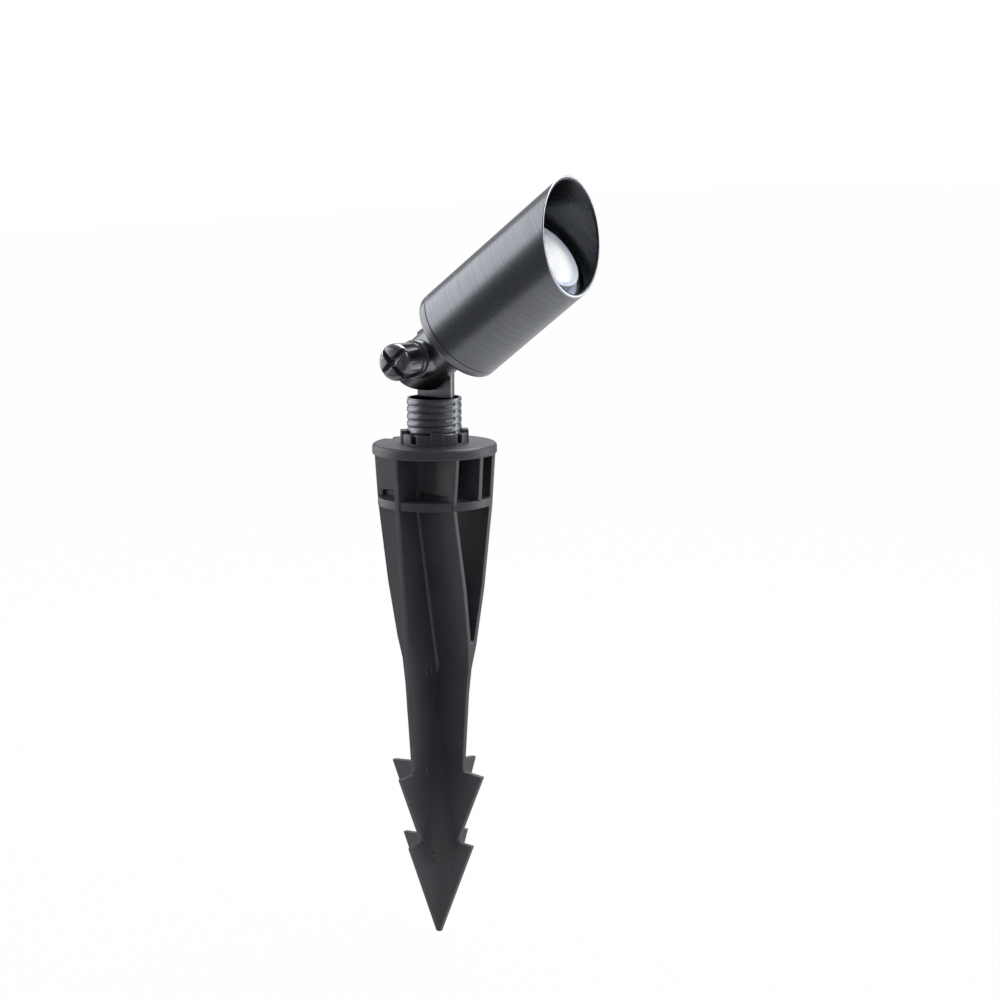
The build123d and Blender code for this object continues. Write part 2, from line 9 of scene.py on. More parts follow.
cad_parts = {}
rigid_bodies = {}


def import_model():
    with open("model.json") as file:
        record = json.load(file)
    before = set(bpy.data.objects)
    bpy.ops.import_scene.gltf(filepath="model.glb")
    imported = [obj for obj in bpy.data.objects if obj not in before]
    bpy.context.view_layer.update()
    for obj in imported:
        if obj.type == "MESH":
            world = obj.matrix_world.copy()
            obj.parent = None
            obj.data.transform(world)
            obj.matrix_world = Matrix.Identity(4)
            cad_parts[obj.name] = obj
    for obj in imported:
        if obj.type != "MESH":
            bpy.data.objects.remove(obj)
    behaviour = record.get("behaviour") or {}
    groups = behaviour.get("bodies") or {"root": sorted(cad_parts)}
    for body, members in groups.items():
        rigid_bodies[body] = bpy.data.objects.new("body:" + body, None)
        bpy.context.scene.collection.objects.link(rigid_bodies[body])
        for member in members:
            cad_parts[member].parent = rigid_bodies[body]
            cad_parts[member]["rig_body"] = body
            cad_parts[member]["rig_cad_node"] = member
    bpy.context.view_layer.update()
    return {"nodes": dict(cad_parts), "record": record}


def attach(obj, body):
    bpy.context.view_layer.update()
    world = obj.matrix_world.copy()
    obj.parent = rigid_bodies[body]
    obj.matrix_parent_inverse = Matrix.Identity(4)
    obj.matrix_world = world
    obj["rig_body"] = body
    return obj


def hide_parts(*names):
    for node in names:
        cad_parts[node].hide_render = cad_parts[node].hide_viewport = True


bl_info = {
    "name": "Garden spike spotlight",
    "version": (1, 0, 0),
    "blender": (4, 5, 0),
    "location": "View3D > Sidebar > Spike light",
    "description": "Builds the visible pieces, finishes and studio of a garden spike spotlight",
    "category": "Add Mesh",
}

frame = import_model()
MM = 0.001

# the head's own frame: height runs from the hinge along the tube, its side points from the knob
HINGE = Vector((0, 0, 32.86 * MM))
HEAD_LEAN = math.radians(90 - 37.06)
HEAD_TURN = Matrix.Rotation(HEAD_LEAN, 4, "Y")
SPIKE_YAW = math.radians(-4.21)
# the slanted mouth's plane: its height on the tube's axis, its middle and the way it faces
MOUTH_AT = 78.16 * MM
MOUTH_SLOPE = math.tan(math.radians(31.02))
MOUTH_MIDDLE = HINGE + HEAD_TURN @ Vector((0, 0, MOUTH_AT))
MOUTH_WAY = (HEAD_TURN @ Vector((MOUTH_SLOPE, 0, 1))).normalized()
# points closer than this are one point
SAME_PLACE = 0.000002


# ------------------------------------------------------------------ settings


class SpikeLightFinish(bpy.types.PropertyGroup):
    """Colours and surface sizes of the finishes"""

    bronze: bpy.props.FloatVectorProperty(
        name="Bronze", description="Colour of the brushed tube", subtype="COLOR",
        default=(0.2, 0.208, 0.228), min=0, max=1,
    )
    dark_bronze: bpy.props.FloatVectorProperty(
        name="Dark bronze", description="Colour of the knuckle and thumbscrew", subtype="COLOR",
        default=(0.21, 0.216, 0.23), min=0, max=1,
    )
    plastic: bpy.props.FloatVectorProperty(
        name="Spike plastic", description="Colour of the moulded spike", subtype="COLOR",
        default=(0.033, 0.034, 0.043), min=0, max=1,
    )
    brush_line: bpy.props.FloatProperty(
        name="Brush line", description="Width of one brushed line", subtype="DISTANCE",
        unit="LENGTH", default=0.00022, min=0.0001, max=0.002,
    )


class SpikeLightStage(bpy.types.PropertyGroup):
    """Floor, lamps and camera"""

    floor_drop: bpy.props.FloatProperty(
        name="Floor", description="Height of the floor", subtype="DISTANCE",
        unit="LENGTH", default=-0.1955,
    )
    key_power: bpy.props.FloatProperty(
        name="Key lamp", description="Power of the soft lamp on the left", subtype="POWER",
        default=5.3, min=0,
    )
    mouth_power: bpy.props.FloatProperty(
        name="Mouth lamp", description="Power of the lamp that faces the tube's mouth",
        subtype="POWER", default=1.9, min=0,
    )
    lens_length: bpy.props.FloatProperty(
        name="Focal length", description="Camera focal length in millimetres", default=88.27,
    )


# ------------------------------------------------------------------ modelling helpers


def clear_selection():
    """Leaves edit mode and deselects everything."""
    if bpy.context.object and bpy.context.object.mode != "OBJECT":
        bpy.ops.object.mode_set(mode="OBJECT")
    bpy.ops.object.select_all(action="DESELECT")


def only(piece):
    """Selects one piece and makes it the active one."""
    clear_selection()
    piece.select_set(True)
    bpy.context.view_layer.objects.active = piece


def settle(piece, turn, place):
    """Puts a piece modelled on the world's Z axis in its place and applies that to its mesh."""
    only(piece)
    piece.matrix_world = Matrix.Translation(place) @ turn
    bpy.context.view_layer.update()
    bpy.ops.object.transform_apply(location=True, rotation=True, scale=True)
    return piece


def finish_piece(piece, name, body, node, finish, smooth=40):
    """Names, shades, paints and hangs a finished piece on its body."""
    without_slivers(piece)
    bpy.ops.object.shade_smooth_by_angle(angle=math.radians(smooth))
    use_modifier(piece, "WEIGHTED_NORMAL", keep_sharp=True)
    piece.name = name
    piece.data.name = name
    piece.data.materials.clear()
    piece.data.materials.append(finish)
    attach(piece, body)
    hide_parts(node)
    return piece


def select_edges(piece, test):
    """Selects the edges whose two ends pass a test, in edit mode's edge mode."""
    bpy.ops.object.mode_set(mode="EDIT")
    bpy.ops.mesh.select_mode(type="EDGE")
    bpy.ops.mesh.select_all(action="DESELECT")
    bpy.ops.object.mode_set(mode="OBJECT")
    points = piece.data.vertices
    for edge in piece.data.edges:
        edge.select = all(test(points[i].co) for i in edge.vertices)
    bpy.ops.object.mode_set(mode="EDIT")


def turned(rings, steps, closed=False):
    """A turned piece on the Z axis: rings of (radius, height), each extruded from the last."""
    clear_selection()
    last_r, last_z = rings[0]
    bpy.ops.mesh.primitive_circle_add(vertices=steps, radius=last_r, location=(0, 0, 0))
    piece = bpy.context.object
    bpy.ops.object.mode_set(mode="EDIT")
    bpy.ops.mesh.select_all(action="SELECT")
    bpy.ops.transform.translate(value=(0, 0, last_z))
    if not closed:
        bpy.ops.mesh.edge_face_add()
    for ring_r, ring_z in rings[1:]:
        bpy.ops.mesh.extrude_region_move(
            TRANSFORM_OT_translate={"value": (0, 0, ring_z - last_z)}
        )
        grow = ring_r / last_r
        bpy.ops.transform.resize(value=(grow, grow, 1), center_override=(0, 0, ring_z))
        last_r, last_z = ring_r, ring_z
    if not closed:
        bpy.ops.mesh.edge_face_add()
    bpy.ops.mesh.select_all(action="SELECT")
    bpy.ops.mesh.remove_doubles(threshold=SAME_PLACE)
    bpy.ops.mesh.normals_make_consistent(inside=False)
    bpy.ops.object.mode_set(mode="OBJECT")
    return piece


def profile(points):
    """A line of edges in the XZ plane, each point extruded from the last."""
    clear_selection()
    bpy.ops.mesh.primitive_plane_add(size=MM, location=(0, 0, 0))
    piece = bpy.context.object
    bpy.ops.object.mode_set(mode="EDIT")
    bpy.ops.mesh.select_mode(type="VERT")
    bpy.ops.mesh.select_all(action="SELECT")
    bpy.ops.mesh.merge(type="CENTER")
    last_r, last_z = points[0]
    bpy.ops.transform.translate(value=(last_r, 0, last_z))
    for point_r, point_z in points[1:]:
        bpy.ops.mesh.extrude_vertices_move(
            TRANSFORM_OT_translate={"value": (point_r - last_r, 0, point_z - last_z)}
        )
        last_r, last_z = point_r, point_z
    bpy.ops.object.mode_set(mode="OBJECT")
    return piece


def use_modifier(piece, kind, **values):
    """Adds a modifier, sets it and applies it."""
    only(piece)
    added = piece.modifiers.new(kind.title(), kind)
    for key, value in values.items():
        setattr(added, key, value)
    bpy.ops.object.modifier_apply(modifier=added.name)
    return piece


def cut_away(piece, cutter):
    """Cuts one piece with another and deletes the cutter."""
    use_modifier(piece, "BOOLEAN", object=cutter, operation="DIFFERENCE", solver="EXACT")
    only(cutter)
    bpy.ops.object.delete()
    return piece


def join(piece, *others):
    """Joins other pieces into the first."""
    clear_selection()
    for other in others:
        other.select_set(True)
    piece.select_set(True)
    bpy.context.view_layer.objects.active = piece
    bpy.ops.object.join()
    return piece


def merged_copy(node):
    """A copy of a carried-over node with its loose triangles merged into whole faces."""
    only(frame["nodes"][node])
    bpy.ops.object.duplicate()
    piece = bpy.context.object
    bpy.ops.object.parent_clear(type="CLEAR")
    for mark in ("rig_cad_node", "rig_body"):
        del piece[mark]
    bpy.ops.mesh.customdata_custom_splitnormals_clear()
    bpy.ops.object.mode_set(mode="EDIT")
    bpy.ops.mesh.select_all(action="SELECT")
    bpy.ops.mesh.remove_doubles(threshold=SAME_PLACE)
    bpy.ops.mesh.dissolve_limited(angle_limit=math.radians(0.5))
    bpy.ops.object.mode_set(mode="OBJECT")
    return piece


def in_mm(points):
    """Points given in millimetres, in metres."""
    return [tuple(size * MM for size in point) for point in points]


def trimmed(piece, point, way, fill=True):
    """Cuts a piece at a plane and drops the side that the way points to."""
    only(piece)
    bpy.ops.object.mode_set(mode="EDIT")
    bpy.ops.mesh.select_all(action="SELECT")
    bpy.ops.mesh.bisect(
        plane_co=point, plane_no=way, use_fill=fill, clear_outer=True, threshold=0.000001
    )
    bpy.ops.object.mode_set(mode="OBJECT")
    return piece


def without_slivers(piece):
    """Makes a piece all triangles and deletes those that lie back to back on the same corners."""
    only(piece)
    bpy.ops.object.mode_set(mode="EDIT")
    bpy.ops.mesh.select_all(action="SELECT")
    bpy.ops.mesh.dissolve_degenerate(threshold=SAME_PLACE)
    bpy.ops.mesh.select_all(action="SELECT")
    bpy.ops.mesh.quads_convert_to_tris()
    bpy.ops.mesh.select_mode(type="FACE")
    bpy.ops.mesh.select_all(action="DESELECT")
    bpy.ops.object.mode_set(mode="OBJECT")
    faces = {}
    for face in piece.data.polygons:
        faces.setdefault(frozenset(face.vertices), []).append(face)
    for same in faces.values():
        for face in same:
            face.select = len(same) > 1
    bpy.ops.object.mode_set(mode="EDIT")
    bpy.ops.mesh.delete(type="FACE")
    bpy.ops.mesh.select_mode(type="VERT")
    bpy.ops.object.mode_set(mode="OBJECT")
    return piece


def softened(piece, width, angle=50):
    """Rounds a piece's outer edges sharper than an angle and leaves its inner corners."""
    only(piece)
    points = piece.data.vertices
    facing = {}
    for face in piece.data.polygons:
        corners = list(face.vertices)
        for first, second in zip(corners, corners[1:] + corners[:1]):
            facing[first, second] = face.normal.copy()
    bpy.ops.object.mode_set(mode="EDIT")
    bpy.ops.mesh.select_mode(type="EDGE")
    bpy.ops.mesh.select_all(action="DESELECT")
    bpy.ops.object.mode_set(mode="OBJECT")
    for edge in piece.data.edges:
        first, second = edge.vertices
        if (first, second) in facing and (second, first) in facing:
            one, other = facing[first, second], facing[second, first]
            along = points[second].co - points[first].co
            sharp = one.angle(other, 0) > math.radians(angle)
            edge.select = sharp and one.cross(other).dot(along) > 0
    bpy.ops.object.mode_set(mode="EDIT")
    bpy.ops.mesh.bevel(
        offset=width, segments=2, affect="EDGES", clamp_overlap=False, miter_outer="ARC"
    )
    bpy.ops.mesh.select_mode(type="VERT")
    bpy.ops.object.mode_set(mode="OBJECT")
    return piece


def rod(radius, low, high):
    """A plain round cutter on the Z axis."""
    clear_selection()
    bpy.ops.mesh.primitive_cylinder_add(
        vertices=48, radius=radius, depth=high - low, location=(0, 0, (low + high) / 2)
    )
    bpy.ops.object.transform_apply(location=True, rotation=True, scale=True)
    return bpy.context.object


def block(low, high):
    """A square bar between two corners."""
    clear_selection()
    middle = [(a + b) / 2 for a, b in zip(low, high)]
    bpy.ops.mesh.primitive_cube_add(size=1, location=middle)
    bpy.context.object.scale = [b - a for a, b in zip(low, high)]
    bpy.ops.object.transform_apply(location=True, rotation=True, scale=True)
    return bpy.context.object


# ------------------------------------------------------------------ finishes


def new_finish(name):
    """A material with an empty node tree and its output."""
    finish = bpy.data.materials.new(name)
    finish.use_nodes = True
    tree = finish.node_tree
    tree.nodes.clear()
    output = tree.nodes.new("ShaderNodeOutputMaterial")
    shader = tree.nodes.new("ShaderNodeBsdfPrincipled")
    tree.links.new(shader.outputs["BSDF"], output.inputs["Surface"])
    return finish, tree, shader


def put(tree, kind, links=(), **values):
    """Adds a node, sets its values and links its inputs."""
    added = tree.nodes.new(kind)
    for key, value in values.items():
        if hasattr(added, key):
            setattr(added, key, value)
        else:
            added.inputs[key.replace("_", " ")].default_value = value
    for socket, source in links:
        tree.links.new(source, added.inputs[socket])
    return added


def grain(tree, size, stretch=(1, 1, 1), detail=3.0, turn=(0, 0, 0), place=(0, 0, 0)):
    """Noise of one grain size, stretched along the piece's own axes."""
    where = put(tree, "ShaderNodeTexCoord")
    mapped = put(
        tree, "ShaderNodeMapping", [("Vector", where.outputs["Object"])],
        vector_type="TEXTURE", Location=place, Rotation=turn,
        Scale=[size * s for s in stretch],
    )
    return put(
        tree, "ShaderNodeTexNoise", [("Vector", mapped.outputs["Vector"])],
        Scale=1.0, Detail=detail, Roughness=0.6,
    )


def shades(tree, source, dark, light, low=0.3, high=0.7):
    """A colour ramp between two colours over part of a noise's range."""
    ramp = put(tree, "ShaderNodeValToRGB", [("Fac", source)])
    ramp.color_ramp.elements[0].position = low
    ramp.color_ramp.elements[0].color = (*dark, 1)
    ramp.color_ramp.elements[1].position = high
    ramp.color_ramp.elements[1].color = (*light, 1)
    return ramp.outputs["Color"]


def spread(tree, source, low, high):
    """Maps a noise onto a range of values."""
    ranged = put(tree, "ShaderNodeMapRange", [("Value", source)])
    ranged.inputs["From Min"].default_value = 0.3
    ranged.inputs["From Max"].default_value = 0.7
    ranged.inputs["To Min"].default_value = low
    ranged.inputs["To Max"].default_value = high
    return ranged.outputs["Result"]


def bumped(tree, shader, height, depth, strength):
    """Adds a bump to a shader."""
    bump = put(tree, "ShaderNodeBump", [("Height", height)], Distance=depth, Strength=strength)
    tree.links.new(bump.outputs["Normal"], shader.inputs["Normal"])


def with_number(tree, operation, source, number):
    """A Math node between a source and a number."""
    added = put(tree, "ShaderNodeMath", [(0, source)], operation=operation)
    added.inputs[1].default_value = number
    return added.outputs[0]


def either(tree, share, first, second):
    """The first colour where the share is 0 and the second where it is 1."""
    mixed = put(tree, "ShaderNodeMix", [(0, share), (6, first)], data_type="RGBA")
    if isinstance(second, tuple):
        mixed.inputs[7].default_value = (*second, 1)
    else:
        tree.links.new(second, mixed.inputs[7])
    return mixed.outputs[2]


def tint(colour, share):
    """A colour made darker or lighter."""
    return tuple(min(1.0, c * share) for c in colour)


def off_axis(tree):
    """Distance from the head's axis, in metres."""
    where = put(tree, "ShaderNodeTexCoord")
    mapped = put(
        tree, "ShaderNodeMapping", [("Vector", where.outputs["Object"])],
        vector_type="TEXTURE", Location=HINGE, Rotation=(0, HEAD_LEAN, 0),
    )
    flat = put(tree, "ShaderNodeVectorMath", [(0, mapped.outputs["Vector"])], operation="MULTIPLY")
    flat.inputs[1].default_value = (1, 1, 0)
    return put(
        tree, "ShaderNodeVectorMath", [(0, flat.outputs["Vector"])], operation="LENGTH"
    ).outputs["Value"]


# how far the painted highlight on the mouth's cut edge reaches, and the distance from the axis
# inside which the tube gets painted shade
PAINTED_HIGHLIGHT_EDGE = 0.36 * MM
PAINTED_SHADE_RADIUS = 18.5 * MM


def brushed_bronze():
    """Dark bronze, brushed round the tube in fine lines, with painted shade inside the tube and a
    painted highlight on the mouth's cut edge.
    """
    sizes = bpy.context.scene.spike_light_finish
    finish, tree, shader = new_finish("brushed_bronze")
    line = sizes.brush_line
    lean = (0, HEAD_LEAN, 0)
    fine = grain(tree, line, (110, 110, 0.9), 2.0, lean, HINGE)
    bands = grain(tree, line, (400, 400, 2.4), 2.0, lean, HINGE)
    both = put(
        tree, "ShaderNodeMath", [(0, fine.outputs["Fac"]), (1, bands.outputs["Fac"])],
        operation="ADD",
    )
    half = with_number(tree, "MULTIPLY", both.outputs[0], 0.5)
    colour = tuple(sizes.bronze)
    outside = shades(tree, half, tint(colour, 0.9), tint(colour, 1.1), 0.4, 0.6)
    # painted shade: the tube's inside is a darker copy of the same brushed bronze
    inside = shades(tree, half, tint(colour, 0.34), tint(colour, 0.42), 0.4, 0.6)
    # painted highlight: the mouth's cut edge is painted lighter on its outer side
    where = put(tree, "ShaderNodeTexCoord")
    along = put(
        tree, "ShaderNodeVectorMath", [(0, where.outputs["Object"])], operation="DOT_PRODUCT"
    )
    along.inputs[1].default_value = MOUTH_WAY
    painted_highlight_from = MOUTH_WAY.dot(MOUTH_MIDDLE) - PAINTED_HIGHLIGHT_EDGE
    painted_highlight_mask = with_number(tree, "GREATER_THAN", along.outputs["Value"], painted_highlight_from)
    outside = either(tree, painted_highlight_mask, outside, tint(colour, 2.6))
    # painted shade on every surface nearer the axis than the tube's outer wall
    painted_shade_mask = with_number(tree, "LESS_THAN", off_axis(tree), PAINTED_SHADE_RADIUS)
    tree.links.new(either(tree, painted_shade_mask, outside, inside), shader.inputs["Base Color"])
    tree.links.new(spread(tree, half, 0.3, 0.25), shader.inputs["Roughness"])
    shader.inputs["Metallic"].default_value = 1.0
    bumped(tree, shader, fine.outputs["Fac"], 0.000003, 0.4)
    return finish


def dark_bronze():
    """Dark bronze, semi-gloss, with faint handling marks."""
    sizes = bpy.context.scene.spike_light_finish
    finish, tree, shader = new_finish("dark_bronze")
    cloud = grain(tree, 0.006, detail=3.0)
    fine = grain(tree, 0.0005, detail=2.0)
    colour = tuple(sizes.dark_bronze)
    tree.links.new(
        shades(tree, cloud.outputs["Fac"], tint(colour, 0.93), tint(colour, 1.07)),
        shader.inputs["Base Color"],
    )
    tree.links.new(spread(tree, cloud.outputs["Fac"], 0.28, 0.33), shader.inputs["Roughness"])
    shader.inputs["Metallic"].default_value = 1.0
    bumped(tree, shader, fine.outputs["Fac"], 0.000004, 0.3)
    return finish


def satin_bronze():
    """Lighter satin metal of the stem, brushed upright on its neck."""
    sizes = bpy.context.scene.spike_light_finish
    finish, tree, shader = new_finish("satin_bronze")
    upright = grain(tree, sizes.brush_line, (1.2, 1.2, 60), 2.0)
    cloud = grain(tree, 0.003, detail=3.0)
    colour = tint(sizes.bronze, 1.05)
    tree.links.new(
        shades(tree, upright.outputs["Fac"], tint(colour, 0.86), tint(colour, 1.14)),
        shader.inputs["Base Color"],
    )
    tree.links.new(spread(tree, cloud.outputs["Fac"], 0.3, 0.38), shader.inputs["Roughness"])
    shader.inputs["Metallic"].default_value = 1.0
    bumped(tree, shader, upright.outputs["Fac"], 0.000006, 0.4)
    return finish


def spike_plastic():
    """Black moulded plastic with a faint mould grain."""
    sizes = bpy.context.scene.spike_light_finish
    finish, tree, shader = new_finish("spike_plastic")
    cloud = grain(tree, 0.02, detail=4.0)
    fine = grain(tree, 0.0006, detail=2.0)
    colour = tuple(sizes.plastic)
    tree.links.new(
        shades(tree, cloud.outputs["Fac"], tint(colour, 0.85), tint(colour, 1.2)),
        shader.inputs["Base Color"],
    )
    tree.links.new(spread(tree, cloud.outputs["Fac"], 0.38, 0.46), shader.inputs["Roughness"])
    shader.inputs["Specular IOR Level"].default_value = 0.75
    bumped(tree, shader, fine.outputs["Fac"], 0.00002, 0.3)
    return finish


def plain_finish(name, colour, metal, rough, size=0.002, share=0.1, depth=0.00002):
    """A finish with a cloudy colour, a varied gloss and a fine bump."""
    finish, tree, shader = new_finish(name)
    cloud = grain(tree, size, detail=4.0)
    tree.links.new(
        shades(tree, cloud.outputs["Fac"], tint(colour, 1 - share), tint(colour, 1 + share)),
        shader.inputs["Base Color"],
    )
    tree.links.new(
        spread(tree, cloud.outputs["Fac"], rough * 0.85, rough * 1.15), shader.inputs["Roughness"]
    )
    shader.inputs["Metallic"].default_value = metal
    bumped(tree, shader, cloud.outputs["Fac"], depth, 0.4)
    return finish


def lens_glass():
    """Clear glass, very slightly uneven."""
    finish, tree, shader = new_finish("lens_glass")
    cloud = grain(tree, 0.01, detail=2.0)
    tree.links.new(
        shades(tree, cloud.outputs["Fac"], (0.93, 0.96, 0.97), (0.97, 0.99, 1.0)),
        shader.inputs["Base Color"],
    )
    tree.links.new(spread(tree, cloud.outputs["Fac"], 0.0, 0.03), shader.inputs["Roughness"])
    shader.inputs["Transmission Weight"].default_value = 1.0
    shader.inputs["IOR"].default_value = 1.45
    return finish


def milky_dome():
    """Milky plastic of the lamp's dome."""
    finish, tree, shader = new_finish("milky_dome")
    cloud = grain(tree, 0.005, detail=3.0)
    tree.links.new(
        shades(tree, cloud.outputs["Fac"], (0.78, 0.82, 0.88), (0.86, 0.9, 0.95)),
        shader.inputs["Base Color"],
    )
    tree.links.new(spread(tree, cloud.outputs["Fac"], 0.2, 0.3), shader.inputs["Roughness"])
    shader.inputs["Subsurface Weight"].default_value = 0.4
    shader.inputs["Subsurface Scale"].default_value = 0.003
    return finish


def frosted_glass():
    """Frosted lens: white in the middle, blue-grey round the raised part and outside it."""
    finish, tree, shader = new_finish("frosted_glass")
    cloud = grain(tree, 0.004, detail=3.0)
    middle = shades(tree, cloud.outputs["Fac"], (0.84, 0.86, 0.9), (0.91, 0.925, 0.95))
    edge = shades(tree, cloud.outputs["Fac"], (0.55, 0.6, 0.72), (0.63, 0.68, 0.79))
    from_middle = put(tree, "ShaderNodeMapRange", [("Value", off_axis(tree))])
    from_middle.inputs["From Min"].default_value = 11.6 * MM
    from_middle.inputs["From Max"].default_value = 11.9 * MM
    both = either(tree, from_middle.outputs["Result"], middle, edge)
    tree.links.new(both, shader.inputs["Base Color"])
    tree.links.new(spread(tree, cloud.outputs["Fac"], 0.18, 0.26), shader.inputs["Roughness"])
    shader.inputs["Subsurface Weight"].default_value = 0.15
    shader.inputs["Subsurface Scale"].default_value = 0.002
    return finish


FINISHES = {}


def make_finishes():
    """Makes each finish once."""
    FINISHES["brushed_bronze"] = brushed_bronze()
    FINISHES["dark_bronze"] = dark_bronze()
    FINISHES["satin_bronze"] = satin_bronze()
    FINISHES["frosted_glass"] = frosted_glass()
    FINISHES["spike_plastic"] = spike_plastic()
    FINISHES["clear_glass"] = lens_glass()
    FINISHES["lamp_diffuser"] = milky_dome()
    FINISHES["steel"] = plain_finish("plain_steel", (0.5, 0.5, 0.52), 1.0, 0.3)
    FINISHES["black_rubber"] = plain_finish("black_rubber", (0.02, 0.02, 0.021), 0.0, 0.7)
    FINISHES["lamp_white"] = plain_finish("lamp_white", (0.8, 0.81, 0.82), 0.0, 0.4)
    FINISHES["lamp_plastic"] = plain_finish("lamp_plastic", (0.8, 0.8, 0.78), 0.0, 0.35)
    FINISHES["lamp_grey"] = plain_finish("lamp_grey", (0.4, 0.43, 0.46), 0.0, 0.3)
    FINISHES["ceramic"] = plain_finish("ceramic", (0.78, 0.76, 0.7), 0.0, 0.6, 0.0008)
    FINISHES["contact_brass"] = plain_finish("contact_brass", (0.7, 0.52, 0.24), 1.0, 0.35)


# ------------------------------------------------------------------ operators


class SPIKELIGHT_OT_finishes(bpy.types.Operator):
    """Gives every carried-over node the finish of its slot"""

    bl_idname = "spikelight.finishes"
    bl_label = "Finishes"

    def execute(self, context):
        make_finishes()
        for part in frame["record"]["subparts"]:
            node = frame["nodes"][part["node"]]
            node.data.materials.clear()
            node.data.materials.append(FINISHES[part["material_slot"]])
        return {"FINISHED"}


class SPIKELIGHT_OT_spike(bpy.types.Operator):
    """Moulded spike: soft edges and the ejector pins' marks"""

    bl_idname = "spikelight.spike"
    bl_label = "Spike"

    EDGE = 0.3 * MM
    BLUNT_AT = -194.7 * MM
    # ejector marks on the side of the front rib: distance from the axis and height, in mm
    MARKS = ((-6.0, -88.4), (-6.0, -127.1), (-5.3, -163.2))
    RIB_SIDE = 1.1 * MM
    # one mark's raised ring: radius and height over the rib's side, in mm
    MARK_RING = (
        (1.1, -0.2), (1.35, 0.18), (1.5, 0.25), (1.75, 0.25), (1.9, 0.18), (2.15, -0.2),
    )

    def execute(self, context):
        spike = merged_copy("ground_spike")
        softened(spike, self.EDGE, 35)
        trimmed(spike, (0, 0, self.BLUNT_AT), (0, 0, -1))
        side = Matrix.Rotation(SPIKE_YAW, 4, "Z")
        marks = []
        for off, high in self.MARKS:
            mark = turned(in_mm(self.MARK_RING), 32)
            settle(
                mark, side @ Matrix.Rotation(math.radians(90), 4, "Y"),
                side @ Vector((self.RIB_SIDE, off * MM, high * MM)),
            )
            marks.append(mark)
        join(spike, *marks)
        finish_piece(
            spike, "spike_moulding", "spike", "ground_spike",
            FINISHES["spike_plastic"],
        )
        return {"FINISHED"}


class SPIKELIGHT_OT_stem(bpy.types.Operator):
    """Swivel stem: its neck, the outside thread and the rib that crosses it"""

    bl_idname = "spikelight.stem"
    bl_label = "Stem"

    # sizes in mm
    PITCH = 2.75
    TURNS = 14
    THREAD_FROM = -20.35
    THREAD_TOP = 17.4
    FOOT = -15
    BORE_R = 4.5
    BORE_TOP = 10.5
    RIB = ((8.9, -0.7, -14.6), (10.38, 0.7, 16.9))
    NECK_FROM = 17.2
    # one groove and crest: radius, height over the groove's middle
    THREAD = (
        (10.0, 0.0), (10.03, 0.14), (10.2, 0.3), (10.37, 0.46), (10.45, 0.7), (10.48, 1.1),
        (10.48, 1.65), (10.45, 2.05), (10.37, 2.29), (10.2, 2.45), (10.03, 2.61), (10.0, 2.75),
    )

    def execute(self, context):
        thread = profile([(r * MM, (z + self.THREAD_FROM) * MM) for r, z in self.THREAD])
        use_modifier(
            thread, "SCREW", angle=math.tau, screw_offset=self.PITCH * MM,
            iterations=self.TURNS, steps=72, render_steps=72, use_normal_calculate=True,
        )
        bpy.ops.object.mode_set(mode="EDIT")
        bpy.ops.mesh.select_all(action="SELECT")
        bpy.ops.mesh.remove_doubles(threshold=SAME_PLACE)
        bpy.ops.object.mode_set(mode="OBJECT")
        trimmed(thread, (0, 0, self.THREAD_TOP * MM), (0, 0, 1))
        trimmed(thread, (0, 0, self.FOOT * MM), (0, 0, -1))
        bpy.ops.object.mode_set(mode="EDIT")
        bpy.ops.mesh.select_all(action="SELECT")
        bpy.ops.mesh.normals_make_consistent(inside=False)
        bpy.ops.object.mode_set(mode="OBJECT")
        cut_away(thread, rod(self.BORE_R * MM, (self.FOOT - 1) * MM, self.BORE_TOP * MM))
        rib = block(*in_mm(self.RIB))
        neck = merged_copy("swivel_stem")
        trimmed(neck, (0, 0, self.NECK_FROM * MM), (0, 0, -1))
        softened(neck, 0.2 * MM)
        stem = join(thread, rib, neck)
        finish_piece(
            stem, "threaded_stem", "stem", "swivel_stem",
            FINISHES["satin_bronze"],
        )
        return {"FINISHED"}


class SPIKELIGHT_OT_cap(bpy.types.Operator):
    """Rear cap with its half of the knuckle, edges softened"""

    bl_idname = "spikelight.cap"
    bl_label = "Rear cap"

    def execute(self, context):
        cap = merged_copy("rear_cap")
        softened(cap, 0.25 * MM)
        finish_piece(
            cap, "cap_and_knuckle", "head", "rear_cap",
            FINISHES["dark_bronze"], 35,
        )
        return {"FINISHED"}


class SPIKELIGHT_OT_thumbscrew(bpy.types.Operator):
    """Thumbscrew with its scalloped grip and crossed slot, edges softened"""

    bl_idname = "spikelight.thumbscrew"
    bl_label = "Thumbscrew"

    def execute(self, context):
        knob = merged_copy("thumbscrew")
        softened(knob, 0.3 * MM)
        finish_piece(
            knob, "thumb_knob", "knob", "thumbscrew",
            FINISHES["dark_bronze"], 35,
        )
        return {"FINISHED"}


